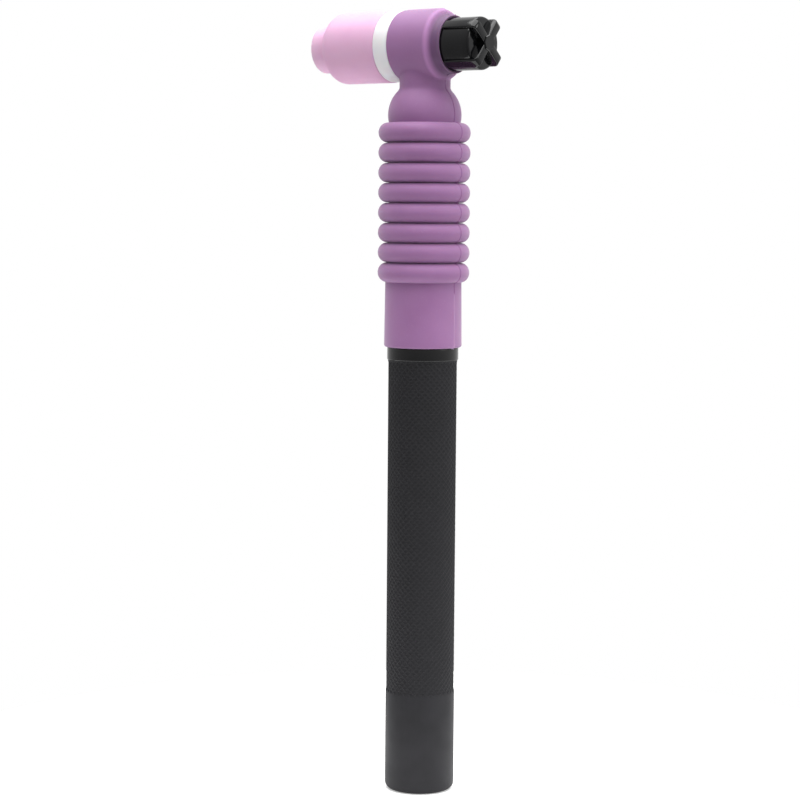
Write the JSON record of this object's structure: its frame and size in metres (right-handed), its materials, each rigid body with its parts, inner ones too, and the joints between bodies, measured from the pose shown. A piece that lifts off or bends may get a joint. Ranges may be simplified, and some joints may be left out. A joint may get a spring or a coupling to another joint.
{
  "type": "tig torch",
  "caption": "Gas-cooled TIG welding torch with a knurled handle, a flexible ribbed rubber neck, a ceramic nozzle over a gas lens and a short ribbed back cap.",
  "frame": {"origin": "centre of the knurled grip, on the handle's axis", "axes": "+Z runs along the handle to the head, the nozzle points along -X, the back cap along +X"},
  "size_m": [0.0706, 0.0314, 0.2693],
  "materials": {
    "grip_plastic": "fine moulded matt, diamond knurled",
    "ferrule_plastic": "glossy moulded phenolic",
    "jacket_rubber": "satin silicone rubber",
    "brass": "machined brass",
    "copper": "drawn copper",
    "steel_mesh": "fine woven mesh",
    "tungsten": "ground tungsten",
    "gasket_ptfe": "white satin fluoropolymer",
    "alumina": "fired pink alumina, satin",
    "seal_rubber": "smooth black rubber",
    "cap_plastic": "glossy moulded phenolic"
  },
  "bodies": {
    "handle": {"handle_tube": "grip_plastic", "ferrule": "ferrule_plastic", "tail_fitting": "brass", "jacket_sleeve": "jacket_rubber", "neck_tube_tail": "copper"},
    "neck_1": {"bellows_ring_1": "jacket_rubber", "neck_tube_1": "copper"},
    "neck_2": {"bellows_ring_2": "jacket_rubber", "neck_tube_2": "copper"},
    "neck_3": {"bellows_ring_3": "jacket_rubber", "neck_tube_3": "copper"},
    "neck_4": {"bellows_ring_4": "jacket_rubber", "neck_tube_4": "copper"},
    "neck_5": {"bellows_ring_5": "jacket_rubber", "neck_tube_5": "copper"},
    "neck_6": {"bellows_ring_6": "jacket_rubber", "neck_tube_6": "copper"},
    "neck_7": {"bellows_ring_7": "jacket_rubber", "neck_tube_7": "copper"},
    "neck_8": {"bellows_ring_8": "jacket_rubber", "neck_tube_8": "copper"},
    "head": {"head_jacket": "jacket_rubber", "head_body": "brass", "neck_tube_head": "copper", "lens_body": "brass", "lens_screens": "steel_mesh", "lens_retaining_ring": "brass", "collet": "copper"},
    "nozzle_seat": {"nozzle_gasket": "gasket_ptfe"},
    "nozzle": {"nozzle": "alumina"},
    "cap_seal": {"cap_o_ring": "seal_rubber"},
    "back_cap": {"back_cap": "cap_plastic", "cap_insert": "brass"},
    "electrode": {"electrode": "tungsten"}
  },
  "joints": [
    {"name": "neck_tilt_1", "type": "hinge", "parent": "handle", "child": "neck_1", "pos_m": [0, 0, 0.0844], "axis": [0, 1, 0], "range_deg": [-9, 9]},
    {"name": "neck_swing_1", "type": "hinge", "parent": "neck_1", "child": "neck_2", "pos_m": [0, 0, 0.0912], "axis": [1, 0, 0], "range_deg": [-8, 8]},
    {"name": "neck_tilt_2", "type": "hinge", "parent": "neck_2", "child": "neck_3", "pos_m": [0, 0, 0.098], "axis": [0, 1, 0], "range_deg": [-9, 9]},
    {"name": "neck_swing_2", "type": "hinge", "parent": "neck_3", "child": "neck_4", "pos_m": [0, 0, 0.1048], "axis": [1, 0, 0], "range_deg": [-8, 8]},
    {"name": "neck_tilt_3", "type": "hinge", "parent": "neck_4", "child": "neck_5", "pos_m": [0, 0, 0.1116], "axis": [0, 1, 0], "range_deg": [-9, 9]},
    {"name": "neck_swing_3", "type": "hinge", "parent": "neck_5", "child": "neck_6", "pos_m": [0, 0, 0.1184], "axis": [1, 0, 0], "range_deg": [-8, 8]},
    {"name": "neck_tilt_4", "type": "hinge", "parent": "neck_6", "child": "neck_7", "pos_m": [0, 0, 0.1252], "axis": [0, 1, 0], "range_deg": [-9, 9]},
    {"name": "neck_swing_4", "type": "hinge", "parent": "neck_7", "child": "neck_8", "pos_m": [0, 0, 0.132], "axis": [1, 0, 0], "range_deg": [-8, 8]},
    {"name": "neck_tilt_5", "type": "hinge", "parent": "neck_8", "child": "head", "pos_m": [0, 0, 0.1388], "axis": [0, 1, 0], "range_deg": [-9, 9]},
    {"name": "nozzle_travel", "type": "slide", "parent": "head", "child": "nozzle_seat", "axis": [-1, 0, 0], "range_m": [0, 0.006]},
    {"name": "nozzle_turn", "type": "hinge", "parent": "nozzle_seat", "child": "nozzle", "pos_m": [-0.02, 0, 0.1649], "axis": [-1, 0, 0], "range_deg": [0, 1081]},
    {"name": "cap_travel", "type": "slide", "parent": "head", "child": "cap_seal", "axis": [1, 0, 0], "range_m": [0, 0.00375]},
    {"name": "cap_turn", "type": "hinge", "parent": "cap_seal", "child": "back_cap", "pos_m": [0.015, 0, 0.1649], "axis": [1, 0, 0], "range_deg": [0, 1081]},
    {"name": "electrode_slide", "type": "slide", "parent": "head", "child": "electrode", "axis": [-1, 0, 0], "range_m": [0, 0.014]}
  ],
  "couplings": [
    {"joint": "neck_tilt_2", "follows": "neck_tilt_1", "ratio": 1},
    {"joint": "neck_swing_2", "follows": "neck_swing_1", "ratio": 1},
    {"joint": "neck_tilt_3", "follows": "neck_tilt_1", "ratio": 1},
    {"joint": "neck_swing_3", "follows": "neck_swing_1", "ratio": 1},
    {"joint": "neck_tilt_4", "follows": "neck_tilt_1", "ratio": 1},
    {"joint": "neck_swing_4", "follows": "neck_swing_1", "ratio": 1},
    {"joint": "neck_tilt_5", "follows": "neck_tilt_1", "ratio": 1},
    {"joint": "nozzle_turn", "follows": "nozzle_travel", "rad_per_m": 3141.6},
    {"joint": "cap_turn", "follows": "cap_travel", "rad_per_m": 5026.5}
  ]
}
